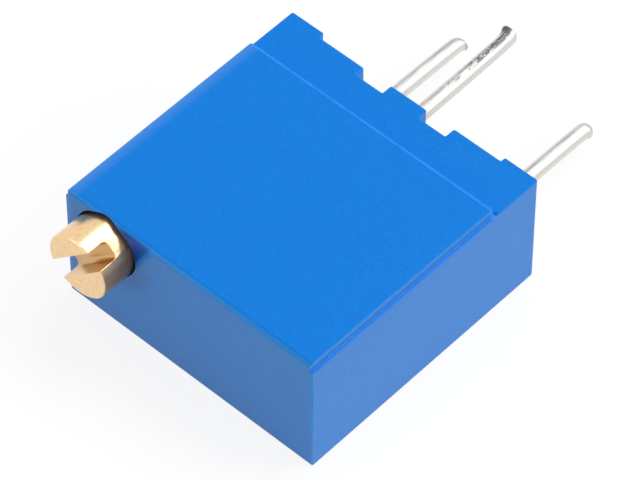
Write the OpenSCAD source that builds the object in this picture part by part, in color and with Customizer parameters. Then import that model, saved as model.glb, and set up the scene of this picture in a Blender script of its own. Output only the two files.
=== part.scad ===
// Multi-turn trimmer potentiometer, 3/8 inch square, for a printed circuit board.
// A slotted brass screw in the front face turns in place and draws a nut carriage along a printed
// cermet track. The body lies on its large flat face. +X runs across the screw face, +Y from the
// screw face to the pins and +Z up through the thickness. The origin is the centre of the body's
// resting face. Lengths are in millimetres.

/* [Body] */
// Width of the body across the screw face
body_w = 9.53; // [9:0.01:11]
// Length of the body from the screw face to the tips of the corner feet
body_l = 9.49; // [9.45:0.01:11]
// Height of the ledge beside the panel, and of the strip next to the pins
ledge_h = 4.26; // [4.24:0.01:5]
// Rise of the panel above the ledge
panel_rise = 0.28; // [0.26:0.01:0.5]
// Width of the ledge at each side of the panel
ledge_w = 0.1; // [0.05:0.01:0.3]
// Length of the strip from the panel to the tips of the feet
strip_l = 1.83; // [1.2:0.01:2.5]
// Radius of the body's outer edges
edge_r = 0.1; // [0.04:0.01:0.2]

/* [Walls] */
// Thickness of the two side walls
side_wall = 0.65; // [0.5:0.01:0.8]
// Thickness of the resting wall
floor_wall = 0.4; // [0.3:0.01:0.42]
// Thickness of the panel wall
roof_wall = 0.9; // [0.85:0.01:1]
// Thickness of the front wall away from the screw
front_wall = 0.7; // [0.5:0.01:1]
// Width of the ledges that carry the substrate
rail_w = 0.7; // [0.4:0.01:0.9]

/* [Feet] */
// Width of each corner foot
corner_foot_w = 1.27; // [1:0.01:1.35]
// Width of the pad beside the middle pin
centre_pad_w = 1.43; // [1.2:0.01:1.8]
// Width of each slot between the pads
rim_slot_w = 1.0; // [0.8:0.01:1.2]
// Depth of the slots below the tips of the corner feet
rim_slot_depth = 0.56; // [0.4:0.01:0.6]
// Height that the pads lose to the corner feet
pad_drop = 0.18; // [0.05:0.01:0.2]
// Radius of the pads' corners
pad_r = 0.16; // [0.05:0.01:0.2]

/* [Adjusting screw] */
// Distance of the screw's axis from the left side
screw_inset = 1.525; // [1.5:0.005:1.7]
// Distance of the screw's axis below the panel
screw_depth = 1.27; // [1.26:0.01:1.35]
// Diameter of the head
head_d = 2.19; // [2:0.01:2.2]
// Length of the head outside the body
head_out = 1.13; // [0.8:0.01:1.6]
// Length of the head inside the body
head_in = 1.15; // [1.1:0.01:1.2]
// Thickness of the wall that the head's shoulder and the clip bear on
thrust_wall = 0.35; // [0.25:0.01:0.4]
// Chamfer round the head's outer end
head_chamfer = 0.06; // [0.02:0.01:0.12]
// Width of the screwdriver slot
driver_slot_w = 0.62; // [0.4:0.01:0.8]
// Depth of the screwdriver slot
driver_slot_depth = 0.76; // [0.5:0.01:0.9]
// Angle of the slot above the horizontal
driver_slot_angle = 45; // [0:1:179]
// Diameter of the thread
thread_d = 1.4; // [1.3:0.01:1.42]
// Diameter of the neck that the clip holds
neck_d = 0.9; // [0.7:0.01:1.1]
// Diameter of the tail journal
journal_d = 0.7; // [0.5:0.01:0.8]
// Length of the tail journal
journal_l = 0.6; // [0.4:0.01:0.65]
// Distance of the seal groove from the front face
groove_y = 0.42; // [0.3:0.01:0.5]
// Width of the seal groove
groove_w = 0.5; // [0.45:0.01:0.55]
// Thickness of the seal ring
ring_d = 0.42; // [0.35:0.01:0.44]

/* [Retaining clip] */
// Thickness of the clip
clip_t = 0.25; // [0.15:0.01:0.3]
// Width of the clip
clip_w = 1.68; // [1.6:0.01:1.7]
// Reach of the clip's legs above the screw's axis
clip_leg = 0.3; // [0.2:0.01:0.34]
// Depth of the clip below the screw's axis
clip_base = 0.95; // [0.7:0.01:1.1]

/* [Element] */
// Thickness of the alumina substrate
substrate_t = 0.6; // [0.5:0.01:0.65]
// Thickness of the printed films
film_t = 0.03; // [0.02:0.005:0.04]
// Width of the resistive track and of the collector track
track_w = 0.9; // [0.85:0.01:1.1]
// Distance between the two tracks' centres
track_gap = 2.6; // [2.2:0.01:2.8]
// Width of the printed conductor lines
line_w = 0.38; // [0.2:0.01:0.45]
// Width of the line that crosses in front of the tracks
front_line_w = 0.2; // [0.15:0.01:0.22]
// Length of track beyond the wiper's reach at each end
track_margin = 0.1; // [0.05:0.01:0.12]
// Bare edge of the substrate in front of the print
print_margin = 0.05; // [0.02:0.01:0.06]
// Width of the soldering pads
solder_pad_w = 0.9; // [0.7:0.01:1]
// Length of the soldering pads
solder_pad_l = 0.5; // [0.4:0.01:0.55]
// Length of the glass bar along the conductors
stop_l = 0.12; // [0.08:0.01:0.15]

/* [Slider] */
// Length of the slider along the screw
slider_l = 1.25; // [1.1:0.01:1.3]
// Room left in front of the slider and behind it at the ends of its travel
end_room = 0.105; // [0.08:0.005:0.3]
// Height of the slider's underside above the tracks
slider_clear = 0.6; // [0.56:0.01:0.65]
// Thickness of the slider's arm
arm_t = 0.55; // [0.4:0.01:0.7]
// Width of the rib that runs under the roof
guide_w = 0.6; // [0.4:0.01:1]

/* [Wiper] */
// Thickness of the wiper's sheet
sheet_t = 0.08; // [0.05:0.01:0.1]
// Width of the flat bridge between the finger groups
bridge_w = 0.32; // [0.25:0.01:0.35]
// Fingers in each group
fingers = 4; // [2:1:4]
// Width of a finger
finger_w = 0.14; // [0.1:0.01:0.15]
// Distance from one finger to the next
finger_pitch = 0.2; // [0.18:0.01:0.22]
// Reach of the fingers in front of the bridge, to the middle of their tips
finger_reach = 0.3; // [0.25:0.01:0.35]
// Radius of the fingers' contact tips
toe_r = 0.12; // [0.1:0.01:0.15]
// Diameter of the stakes that hold the wiper
stake_d = 0.2; // [0.14:0.01:0.22]

/* [Pins] */
// Grid that the pins stand on
pin_grid = 2.54; // [2.5:0.01:2.54]
// Diameter of the pins
pin_d = 0.5; // [0.4:0.01:0.52]
// Height of pins 1 and 3 above the resting face
pin_row_z = 0.7; // [0.7:0.01:0.8]
// Length of pins 1 and 3 beyond the feet
outer_pin_out = 4.9; // [3:0.1:6]
// Length of pin 2 beyond the feet
middle_pin_out = 4.4; // [3:0.1:6]
// Length of pins 1 and 3 under the substrate
pin_lap = 1.0; // [0.6:0.01:1.4]
// Length of pin 2's foot on the substrate
pin_foot_lap = 0.34; // [0.3:0.01:0.36]
// Radius of pin 2's bends, to the middle of the wire
bend_r = 0.32; // [0.3:0.01:0.4]
// Radius of the solder round the pins
solder_r = 0.36; // [0.33:0.01:0.4]
// Length of the solder beyond the ends of the pins
solder_cap = 0.12; // [0.05:0.01:0.14]

/* [Base and seal] */
// Thickness of the base plate
base_t = 0.85; // [0.8:0.01:0.9]
// Thickness of the resin over the base
seal_t = 0.25; // [0.2:0.01:0.3]
// Distance of the resin's face below the slots between the feet
seal_drop = 0.08; // [0.05:0.01:0.12]

/* [Fits] */
// Clearance round the screw's head
head_gap = 0.095; // [0.08:0.005:0.1]
// Running clearance of journals and of the thread in its nut, on the radius
running_gap = 0.03; // [0.02:0.005:0.05]
// Clearance between pieces that pass or slide by each other
slide_gap = 0.05; // [0.03:0.01:0.06]
// Clearance of fixed pieces in their seats
seat_gap = 0.02; // [0.01:0.005:0.03]
// Clearance of the thread in the channel under the roof
channel_gap = 0.08; // [0.05:0.01:0.1]

/* [Hidden] */
$fn = 48;

// the body's outline and the cavity inside it
front_y = -body_l / 2;
feet_y = body_l / 2;
panel_h = ledge_h + panel_rise;
cavity_w = body_w - 2 * side_wall;
roof_z = panel_h - roof_wall;

// places along Y, from the pins inwards
seal_y = feet_y - rim_slot_depth - seal_drop;
base_y = seal_y - seal_t - base_t;
element_rear_y = base_y - slide_gap;

// the screw and what surrounds it
screw_x = -body_w / 2 + screw_inset;
screw_z = panel_h - screw_depth;
bore_r = head_d / 2 + head_gap;
shank_r = thread_d / 2;
journal_r = journal_d / 2;
neck_r = neck_d / 2;
head_end_y = front_y + head_in;
boss_y = head_end_y + slide_gap + thrust_wall;
boss_x = screw_x + bore_r + thrust_wall;
neck_end_y = boss_y + clip_t + 2 * seat_gap;
shank_end_y = base_y - slide_gap;
groove_r = bore_r - seat_gap - ring_d;

// the slider's travel between the clip and the base: 22 turns of a 0.2 mm thread pitch
slider_y = (neck_end_y + shank_end_y) / 2;
travel = shank_end_y - neck_end_y - slider_l - 2 * end_room;

// the element, stacked on the low row of pins
substrate_z = pin_row_z + pin_d / 2 + film_t;
film_z = substrate_z + substrate_t;
track_x = track_gap / 2;
element_front_y = boss_y + 2 * slide_gap;
substrate_w = cavity_w - 2 * slide_gap;
toe_y = slider_y - bridge_w / 2 - finger_reach;
track_front_y = toe_y - travel / 2 - track_margin;
track_rear_y = toe_y + travel / 2 + track_margin;
front_line_y = element_front_y + print_margin;
pad_y = element_rear_y - solder_pad_l;
stop_y = track_rear_y + (pad_y - track_rear_y) / 2;

// the slider and the wiper under it
slider_z = film_z + film_t + slider_clear;
stake_x = track_x / 2;
arm_end_x = track_x + track_w / 2 + guide_w + 2 * slide_gap;
toe_z = film_z + film_t + running_gap;

// the pins
upper_pin_z = pin_row_z + pin_grid;
foot_z = film_z + film_t + pin_d / 2;
leg_y = base_y + pin_d / 2 + slide_gap;

// A rectangle centred on X and Y with round corners.
module rounded_rectangle(size, r) {
    square([size.x - 2 * r, size.y], center = true);
    square([size.x, size.y - 2 * r], center = true);
    for (sx = [-1, 1], sy = [-1, 1])
        translate([sx * (size.x / 2 - r), sy * (size.y / 2 - r)]) circle(r);
}

// A block with all twelve edges rounded: its bottom is at z = 0 and its front at y = 0.
module soft_block(size, r) {
    translate([0, size.y / 2, size.z / 2]) intersection() {
        linear_extrude(size.z, center = true) rounded_rectangle([size.x, size.y], r);
        rotate([90, 0, 0])
            linear_extrude(size.y, center = true) rounded_rectangle([size.x, size.z], r);
        rotate([90, 0, 90])
            linear_extrude(size.x, center = true) rounded_rectangle([size.y, size.z], r);
    }
}

// A cylinder along +Y from y0 to y1.
module rod(r, y0, y1, x = 0, z = 0) {
    translate([x, y0, z]) rotate([-90, 0, 0]) cylinder(r = r, h = y1 - y0);
}

// A block between two corners.
module block(low, high) {
    translate(low) cube(high - low);
}

// Extrudes a profile drawn in Y and Z over a width centred on X.
module extrude_across(width) {
    rotate([90, 0, 90]) linear_extrude(width, center = true) children();
}

// Extrudes a profile drawn in X and Z from y0 to y1.
module extrude_along(y0, y1) {
    translate([0, y1, 0]) rotate([90, 0, 0]) linear_extrude(y1 - y0) children();
}

// The section of the cavity in X and Z: a box with a round channel above the screw.
module cavity_section(gap) {
    translate([-cavity_w / 2 + gap, floor_wall + gap])
        square([cavity_w - 2 * gap, roof_z - floor_wall - 2 * gap]);
    translate([screw_x, screw_z]) circle(shank_r + channel_gap - gap);
}

// One pad of the rim in plan, between x0 and x1: the tips of the corner feet lie at y = 0.
module rim_pad(x0, x1) {
    translate([x0, -rim_slot_depth]) square([x1 - x0, rim_slot_depth - pad_drop - pad_r]);
    translate([x0 + pad_r, -rim_slot_depth])
        square([x1 - x0 - 2 * pad_r, rim_slot_depth - pad_drop]);
    for (x = [x0 + pad_r, x1 - pad_r])
        translate([x, -pad_drop - pad_r]) circle(pad_r);
}

// What the rim lacks between the corner feet, in plan: slots, and the drop above the pads.
module rim_cut() {
    inner_w = body_w - 2 * corner_foot_w;
    outer_pad_x = centre_pad_w / 2 + rim_slot_w;
    difference() {
        translate([-inner_w / 2, -rim_slot_depth]) square([inner_w, rim_slot_depth + edge_r]);
        rim_pad(-centre_pad_w / 2, centre_pad_w / 2);
        rim_pad(outer_pad_x, inner_w / 2 + pad_r);
        rim_pad(-inner_w / 2 - pad_r, -outer_pad_x);
    }
}

module housing() color("dodgerblue") {
    difference() {
        union() {
            translate([0, front_y, 0]) soft_block([body_w, body_l, ledge_h], edge_r);
            translate([0, front_y, 0])
                soft_block([body_w - 2 * ledge_w, body_l - strip_l, panel_h], edge_r);
        }
        // the cavity, shallower where the boss for the screw stands
        difference() {
            extrude_along(front_y + front_wall, feet_y + edge_r) cavity_section(0);
            block([-body_w / 2, front_y, 0], [boss_x, boss_y, panel_h]);
            for (side = [-1, 1])
                translate([side * (cavity_w - rail_w) / 2, 0, 0])
                    block([-rail_w / 2, boss_y, 0], [rail_w / 2, element_rear_y, substrate_z]);
        }
        rod(bore_r, front_y - edge_r, head_end_y + slide_gap, screw_x, screw_z);
        rod(shank_r + running_gap, front_y, boss_y + edge_r, screw_x, screw_z);
        translate([0, feet_y, -edge_r])
            linear_extrude(panel_h + 2 * edge_r) rim_cut();
    }
}

module base() color("royalblue") difference() {
    extrude_along(base_y, base_y + base_t) cavity_section(seat_gap);
    for (side = [-1, 1])
        rod(pin_d / 2 + seat_gap / 2, base_y - 1, feet_y, side * pin_grid, pin_row_z);
    rod(pin_d / 2 + seat_gap / 2, leg_y, feet_y, 0, upper_pin_z);
    // the channel for the cranked leg of pin 2, open towards the cavity
    block([-pin_d / 2 - seat_gap, base_y - 1, foot_z - pin_d / 2 - seat_gap],
        [pin_d / 2 + seat_gap, leg_y + pin_d / 2 + seat_gap, upper_pin_z + pin_d / 2 + seat_gap]);
    rod(journal_r + running_gap, base_y - 1, shank_end_y + journal_l + slide_gap, screw_x, screw_z);
}

module epoxy_seal() color("midnightblue") difference() {
    extrude_along(base_y + base_t, seal_y) cavity_section(0);
    for (pin = [-1, 1])
        rod(pin_d / 2, base_y, feet_y, pin * pin_grid, pin_row_z);
    rod(pin_d / 2, base_y, feet_y, 0, upper_pin_z);
}

module substrate() color("whitesmoke")
    block([-substrate_w / 2, element_front_y, substrate_z],
        [substrate_w / 2, element_rear_y, film_z]);

// A printed film on the substrate between two corners in plan.
module film(low, high) {
    block([low.x, low.y, film_z], [high.x, high.y, film_z + film_t]);
}

module resistive_track() color("dimgray")
    film([-track_x - track_w / 2, track_front_y], [-track_x + track_w / 2, track_rear_y]);

module collector_track() color("silver") {
    film([track_x - track_w / 2, track_front_y], [track_x + track_w / 2, track_rear_y]);
    film([track_x - line_w / 2, track_rear_y], [track_x + line_w / 2, pad_y + line_w]);
    film([0, pad_y], [track_x, pad_y + line_w]);
    film([-solder_pad_w / 2, pad_y], [solder_pad_w / 2, element_rear_y]);
}

// A soldering pad that wraps round the substrate's rear edge to its underside.
module wrapped_pad(x) {
    wrap_y = element_rear_y + film_t;
    film([x - solder_pad_w / 2, pad_y], [x + solder_pad_w / 2, wrap_y]);
    block([x - solder_pad_w / 2, element_rear_y, substrate_z - film_t],
        [x + solder_pad_w / 2, wrap_y, film_z + film_t]);
    block([x - solder_pad_w / 2, base_y - pin_lap - solder_cap, substrate_z - film_t],
        [x + solder_pad_w / 2, wrap_y, substrate_z]);
}

module conductor_1() color("gainsboro") {
    wrapped_pad(-pin_grid);
    film([-pin_grid, pad_y], [-track_x + line_w / 2, pad_y + line_w]);
    film([-track_x - line_w / 2, track_rear_y], [-track_x + line_w / 2, pad_y + line_w]);
}

module conductor_3() color("gainsboro") {
    side_x = pin_grid + solder_pad_w / 2;
    wrapped_pad(pin_grid);
    film([side_x - line_w, front_line_y], [side_x, element_rear_y]);
    film([-track_x - track_w / 2, front_line_y], [side_x, front_line_y + front_line_w]);
    film([-track_x - track_w / 2, front_line_y], [-track_x + track_w / 2, track_front_y]);
}

module solder_stop() color("seagreen") difference() {
    block([-pin_grid - solder_pad_w / 2, stop_y - stop_l / 2, film_z],
        [pin_grid + solder_pad_w / 2, stop_y + stop_l / 2, film_z + 2 * film_t]);
    collector_track();
    conductor_1();
    conductor_3();
}

// A straight pin of the low row, from under the substrate to beyond the feet.
module outer_pin(side) color("lightgray")
    rod(pin_d / 2, base_y - pin_lap, feet_y + outer_pin_out, side * pin_grid, pin_row_z);

module pin_1() outer_pin(-1);

module pin_3() outer_pin(1);

// A quarter bend of the wire in the Y-Z plane, centred on the origin, from +Y to +Z.
module wire_bend() {
    rotate([90, 0, 90]) rotate_extrude(angle = 90) translate([bend_r, 0]) circle(pin_d / 2);
}

// The middle pin: down from the high row behind the base's face, then forward onto the substrate.
module pin_2() color("lightgray") {
    rod(pin_d / 2, leg_y + bend_r, feet_y + middle_pin_out, 0, upper_pin_z);
    translate([0, leg_y + bend_r, upper_pin_z - bend_r]) rotate([90, 0, 0]) wire_bend();
    translate([0, leg_y, foot_z + bend_r])
        cylinder(d = pin_d, h = upper_pin_z - foot_z - 2 * bend_r);
    translate([0, leg_y - bend_r, foot_z + bend_r]) rotate([-90, 0, 0]) wire_bend();
    rod(pin_d / 2, base_y - pin_foot_lap, leg_y - bend_r, 0, foot_z);
}

// Solder under the substrate along one of the low pins.
module low_solder(side) color("silver") difference() {
    rod(solder_r, base_y - pin_lap - solder_cap, element_rear_y, side * pin_grid,
        substrate_z - film_t);
    block([-body_w, front_y, substrate_z - film_t], [body_w, feet_y, panel_h]);
    block([-body_w, front_y, 0], [body_w, feet_y, floor_wall + seat_gap]);
    outer_pin(side);
}

module solder_joint_1() low_solder(-1);

module solder_joint_2() color("silver") difference() {
    rod(solder_r, base_y - pin_foot_lap - solder_cap, element_rear_y, 0, film_z + film_t);
    block([-body_w, front_y, 0], [body_w, feet_y, film_z + film_t]);
    pin_2();
}

module solder_joint_3() low_solder(1);

// The turned screw, from the slotted head in front to the tail journal.
module adjusting_screw() color("goldenrod") translate([screw_x, 0, screw_z]) difference() {
    rotate([-90, 0, 0]) rotate_extrude() polygon([
        [0, front_y - head_out],
        [head_d / 2 - head_chamfer, front_y - head_out],
        [head_d / 2, front_y - head_out + head_chamfer],
        [head_d / 2, front_y + groove_y],
        [groove_r, front_y + groove_y],
        [groove_r, front_y + groove_y + groove_w],
        [head_d / 2, front_y + groove_y + groove_w],
        [head_d / 2, head_end_y],
        [shank_r, head_end_y],
        [shank_r, boss_y],
        [neck_r, boss_y],
        [neck_r, neck_end_y],
        [shank_r, neck_end_y],
        [shank_r, shank_end_y],
        [journal_r, shank_end_y],
        [journal_r, shank_end_y + journal_l],
        [0, shank_end_y + journal_l]
    ]);
    rotate([0, -driver_slot_angle, 0])
        block([-head_d, front_y - head_out - 1, -driver_slot_w / 2],
            [head_d, front_y - head_out + driver_slot_depth, driver_slot_w / 2]);
}

module o_ring() color("saddlebrown")
    translate([screw_x, front_y + groove_y + groove_w / 2, screw_z]) rotate([-90, 0, 0])
        rotate_extrude() translate([groove_r + ring_d / 2, 0]) circle(ring_d / 2);

// A fork that straddles the neck from below and bears on the boss.
module retaining_clip() color("peru") difference() {
    translate([screw_x, boss_y, screw_z])
        block([-clip_w / 2, 0, -clip_base], [clip_w / 2, clip_t, clip_leg]);
    rod(neck_r + running_gap, front_y, feet_y, screw_x, screw_z);
    translate([screw_x, boss_y, screw_z])
        block([-neck_r - running_gap, -1, 0], [neck_r + running_gap, 1, 1]);
}

// The carriage: a half nut under the screw, an arm over the tracks and a rib under the roof.
module slider() color("ivory") translate([0, slider_y, 0]) {
    nut_w = 2 * (screw_inset - side_wall - slide_gap);
    difference() {
        extrude_along(-slider_l / 2, slider_l / 2) {
            translate([screw_x - nut_w / 2, slider_z]) square([nut_w, screw_z - slider_z]);
            translate([screw_x, slider_z]) square([arm_end_x - screw_x, arm_t]);
            translate([arm_end_x - guide_w, slider_z])
                square([guide_w, roof_z - slide_gap - slider_z]);
        }
        rod(shank_r + running_gap, -slider_l, slider_l, screw_x, screw_z);
    }
    // stakes through the wiper's bridge
    for (x = [-stake_x, 0, stake_x])
        translate([x, 0, slider_z - 2 * sheet_t]) cylinder(d = stake_d, h = 2 * sheet_t + arm_t / 2);
}

// The section of a finger in Y and Z, from the bridge's front edge: a ramp down to a round toe.
module finger_profile() {
    fall = slider_z - toe_z;
    polygon([
        [0, 0],
        [0, -sheet_t],
        [-finger_reach + toe_r, -fall + toe_r],
        [-finger_reach + toe_r - sheet_t, -fall + toe_r]
    ]);
    translate([-finger_reach, -fall + toe_r]) difference() {
        circle(toe_r);
        circle(toe_r - sheet_t);
        translate([-2 * toe_r, 0]) square([4 * toe_r, 2 * toe_r]);
    }
}

module wiper() color("gold") translate([0, slider_y, slider_z]) {
    group_w = (fingers - 1) * finger_pitch + finger_w;
    difference() {
        block([-track_x - group_w / 2, -bridge_w / 2, -sheet_t], [track_x + group_w / 2, bridge_w / 2, 0]);
        for (x = [-stake_x, 0, stake_x])
            translate([x, 0, -1]) cylinder(d = stake_d + seat_gap, h = 2);
    }
    for (side = [-1, 1], i = [0 : fingers - 1])
        translate([side * track_x + (i - (fingers - 1) / 2) * finger_pitch, -bridge_w / 2, 0])
            extrude_across(finger_w) finger_profile();
}

housing();
base();
epoxy_seal();
substrate();
resistive_track();
collector_track();
conductor_1();
conductor_3();
solder_stop();
pin_1();
pin_2();
pin_3();
solder_joint_1();
solder_joint_2();
solder_joint_3();
adjusting_screw();
o_ring();
retaining_clip();
slider();
wiper();
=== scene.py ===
import math

import bmesh
import bpy
from mathutils import Matrix, Vector


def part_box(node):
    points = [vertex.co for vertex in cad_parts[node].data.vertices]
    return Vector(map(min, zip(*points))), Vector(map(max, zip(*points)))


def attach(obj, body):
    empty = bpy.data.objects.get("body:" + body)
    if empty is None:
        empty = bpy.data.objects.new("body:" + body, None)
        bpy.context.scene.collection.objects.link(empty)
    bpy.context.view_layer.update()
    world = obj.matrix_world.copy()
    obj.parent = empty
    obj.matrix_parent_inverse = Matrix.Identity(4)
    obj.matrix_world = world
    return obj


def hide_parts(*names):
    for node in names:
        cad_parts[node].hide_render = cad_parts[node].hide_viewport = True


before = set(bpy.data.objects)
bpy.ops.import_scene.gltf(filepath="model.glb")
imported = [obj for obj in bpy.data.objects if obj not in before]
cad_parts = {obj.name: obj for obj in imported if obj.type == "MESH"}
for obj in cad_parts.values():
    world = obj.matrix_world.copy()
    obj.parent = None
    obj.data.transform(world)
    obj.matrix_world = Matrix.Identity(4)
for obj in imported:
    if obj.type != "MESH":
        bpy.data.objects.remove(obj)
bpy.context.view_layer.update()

# ---------------------------------------------------------------- camera
# A long lens looks down on the trimmer from its front right corner. The body lies on its large
# flat face, so the screw face, the right side and the raised panel all show. Lengths are in
# millimetres throughout, apart from those of the table and the lamps.
MM = 0.001
FOCAL_LENGTH = 266.5
CAMERA_TURN = math.radians(42.446)
CAMERA_HEIGHT = math.radians(50.685)
CAMERA_ROLL = math.radians(0.165)
CAMERA_DISTANCE = 136.04
CAMERA_TARGET = Vector((0.0, 0.255, 2.4))
CAMERA_ASIDE = Vector((0.335, -0.461, 0.0))

camera_data = bpy.data.cameras.new("camera")
camera_data.lens = FOCAL_LENGTH
camera_data.sensor_width = 36
camera_data.clip_start = 0.01
camera_data.clip_end = 10
camera = bpy.data.objects.new("camera", camera_data)
bpy.context.scene.collection.objects.link(camera)
camera_turn = (
    Matrix.Rotation(CAMERA_TURN, 4, "Z")
    @ Matrix.Rotation(math.pi / 2 - CAMERA_HEIGHT, 4, "X")
    @ Matrix.Rotation(CAMERA_ROLL, 4, "Z")
)
camera_place = CAMERA_TARGET + camera_turn @ (CAMERA_ASIDE + Vector((0, 0, CAMERA_DISTANCE)))
camera.matrix_world = Matrix.Translation(camera_place * MM) @ camera_turn
bpy.context.scene.camera = camera


# ---------------------------------------------------------------- table and light
# A white table with a soft shadow, under a broad soft light that stands behind and to the right.
# The table and the room are white to the eye and in every reflection, and dimmer as lamps.
def linear(colour):
    """An sRGB hex colour as linear red, green, blue and alpha."""
    parts = [int(colour[i:i + 2], 16) / 255 for i in (1, 3, 5)]
    return [c / 12.92 if c <= 0.04045 else ((c + 0.055) / 1.055) ** 2.4 for c in parts] + [1.0]


def add_node(tree, kind, settings=(), links=()):
    """Adds a node to a tree with its settings, and links its inputs from other nodes' outputs."""
    node = tree.nodes.new(kind)
    for name, value in dict(settings).items():
        if isinstance(name, int) or name in node.inputs:
            node.inputs[name].default_value = value
        else:
            setattr(node, name, value)
    for name, source in dict(links).items():
        tree.links.new(source, node.inputs[name])
    return node


def new_material(name):
    """An empty node material, with its tree and its output."""
    material = bpy.data.materials.new(name)
    material.use_nodes = True
    material.node_tree.nodes.clear()
    output = material.node_tree.nodes.new("ShaderNodeOutputMaterial")
    return material, material.node_tree, output


def seen_ray(tree):
    """1 for a ray from the eye, from a mirror or through glass, and 0 for a diffuse ray."""
    path = add_node(tree, "ShaderNodeLightPath")
    first = add_node(tree, "ShaderNodeMath", {"operation": "MAXIMUM"},
                     {0: path.outputs["Is Camera Ray"], 1: path.outputs["Is Glossy Ray"]})
    return add_node(tree, "ShaderNodeMath", {"operation": "MAXIMUM"},
                    {0: first.outputs[0], 1: path.outputs["Is Transmission Ray"]})


WHITE = "#FFFFFF"
ROOM_LIGHT = 0.4
TABLE_SIZE = 1.2
TABLE_GAP = 0.01
TABLE_BOUNCE = "#C6C3B8"
TABLE_LIGHT_COLOUR = (1, 0.97, 0.8, 1)
TABLE_LIGHT = 0.27
TABLE_GLOW = 0.87
TABLE_SHADE = "#6A6A6A"
world = bpy.data.worlds.new("room")
bpy.context.scene.world = world
world.use_nodes = True
tree = world.node_tree
tree.nodes.clear()
seen = seen_ray(tree)
strength = add_node(tree, "ShaderNodeMapRange", {"To Min": ROOM_LIGHT, "To Max": 1.0},
                    {"Value": seen.outputs[0]})
room = add_node(tree, "ShaderNodeBackground", {"Color": linear(WHITE)},
                {"Strength": strength.outputs[0]})
add_node(tree, "ShaderNodeOutputWorld", (), {"Surface": room.outputs[0]})

bpy.ops.mesh.primitive_plane_add(size=TABLE_SIZE, location=(0, 0, -TABLE_GAP * MM))
table = bpy.context.object
table.name = "table"
material, tree, output = new_material("white table")
table.data.materials.append(material)
# it is lit from below as well, so a little light comes up from it into every shadow
lit = add_node(tree, "ShaderNodeEmission", {"Color": TABLE_LIGHT_COLOUR, "Strength": TABLE_LIGHT})
matt = add_node(tree, "ShaderNodeBsdfDiffuse", {"Color": linear(TABLE_BOUNCE)})
bounce = add_node(tree, "ShaderNodeAddShader", (), {0: lit.outputs[0], 1: matt.outputs[0]})
# to the eye the table is white, and a shadow takes away only its diffuse share
glow = add_node(tree, "ShaderNodeEmission", {"Color": linear(WHITE), "Strength": TABLE_GLOW})
shade = add_node(tree, "ShaderNodeBsdfDiffuse", {"Color": linear(TABLE_SHADE)})
pale = add_node(tree, "ShaderNodeAddShader", (), {0: glow.outputs[0], 1: shade.outputs[0]})
seen = seen_ray(tree)
surface = add_node(tree, "ShaderNodeMixShader", (),
                   {0: seen.outputs[0], 1: bounce.outputs[0], 2: pale.outputs[0]})
tree.links.new(surface.outputs[0], output.inputs["Surface"])

# each lamp: the side it stands on, its distance, width, height, power and colour. The softbox is
# wide across the wires and the screw, so that it lights one band along each of them.
LAMPS = {
    "softbox": (Vector((0.38, 0.47, 0.8)), 0.5, 0.86, 0.24, 2.6, (0.96, 0.98, 1.0)),
    "fill": (Vector((-0.45, -0.8, 0.2)), 0.6, 0.3, 0.3, 0.38, (1.0, 0.98, 0.94)),
}
for name, (side, distance, width, height, power, colour) in LAMPS.items():
    lamp_data = bpy.data.lights.new(name, "AREA")
    lamp_data.shape = "RECTANGLE"
    lamp_data.size = width
    lamp_data.size_y = height
    lamp_data.energy = power
    lamp_data.color = colour
    lamp = bpy.data.objects.new(name, lamp_data)
    bpy.context.scene.collection.objects.link(lamp)
    towards = side.normalized()
    across = Vector((0, 1, 0)).cross(towards).normalized()
    facing = Matrix((across, towards.cross(across), towards)).transposed().to_4x4()
    lamp.matrix_world = Matrix.Translation(towards * distance) @ facing

bpy.context.scene.view_settings.view_transform = "Standard"


# ---------------------------------------------------------------- housing
# One shell of blue thermoset moulding. Its panel stands proud of a narrow ledge at each side, and
# the rim at the pin side is cut into feet, pads and slots for washing flux out.
NEAR = 0.01
SHARP = math.radians(35)


def near(place, target):
    """Whether a place is at a target, within the rounding of the mesh."""
    return abs(place - target) < NEAR


def select(kind, test):
    """Selects the vertices, edges or faces of the edited piece whose centre passes the test."""
    bpy.ops.mesh.select_mode(type=kind)
    mesh = bmesh.from_edit_mesh(bpy.context.object.data)
    for part in [*mesh.verts, *mesh.edges, *mesh.faces]:
        part.select = False
    for part in {"VERT": mesh.verts, "EDGE": mesh.edges, "FACE": mesh.faces}[kind]:
        corners = [part] if kind == "VERT" else part.verts
        centre = sum((corner.co for corner in corners), Vector()) / len(corners)
        if test(centre, part):
            part.select = True
    mesh.select_mode = {kind}
    mesh.select_flush_mode()
    bmesh.update_edit_mesh(bpy.context.object.data)


def select_only(piece):
    """Selects one piece and nothing else, and makes it the active one."""
    bpy.ops.object.select_all(action="DESELECT")
    bpy.context.view_layer.objects.active = piece
    piece.select_set(True)


def cut(axis, places):
    """Bisects the piece that is being edited at right angles to an axis."""
    normal = [0, 0, 0]
    normal[axis] = 1
    for place in places:
        point = [0, 0, 0]
        point[axis] = place
        bpy.ops.mesh.select_all(action="SELECT")
        bpy.ops.mesh.bisect(plane_co=point, plane_no=normal)


def extrude(offset):
    """Extrudes the selected faces as one region."""
    bpy.ops.mesh.extrude_region_move(TRANSFORM_OT_translate={"value": offset})


def face_outwards():
    """Turns every face of the edited piece outwards, and leaves all of it selected."""
    bpy.ops.mesh.select_all(action="SELECT")
    bpy.ops.mesh.normals_make_consistent(inside=False)


def add_piece(name, adder, **settings):
    """Adds a primitive with nothing else selected, and opens it for editing."""
    bpy.ops.object.select_all(action="DESELECT")
    adder(**settings)
    piece = bpy.context.object
    piece.name = piece.data.name = name
    bpy.ops.object.transform_apply(location=True, rotation=True, scale=True)
    bpy.ops.object.mode_set(mode="EDIT")
    return piece


def apply(piece, kind, **settings):
    """Adds a modifier to a piece and applies it."""
    modifier = piece.modifiers.new(kind.lower(), kind)
    for name, value in settings.items():
        setattr(modifier, name, value)
    select_only(piece)
    bpy.ops.object.modifier_apply(modifier=modifier.name)


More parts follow.
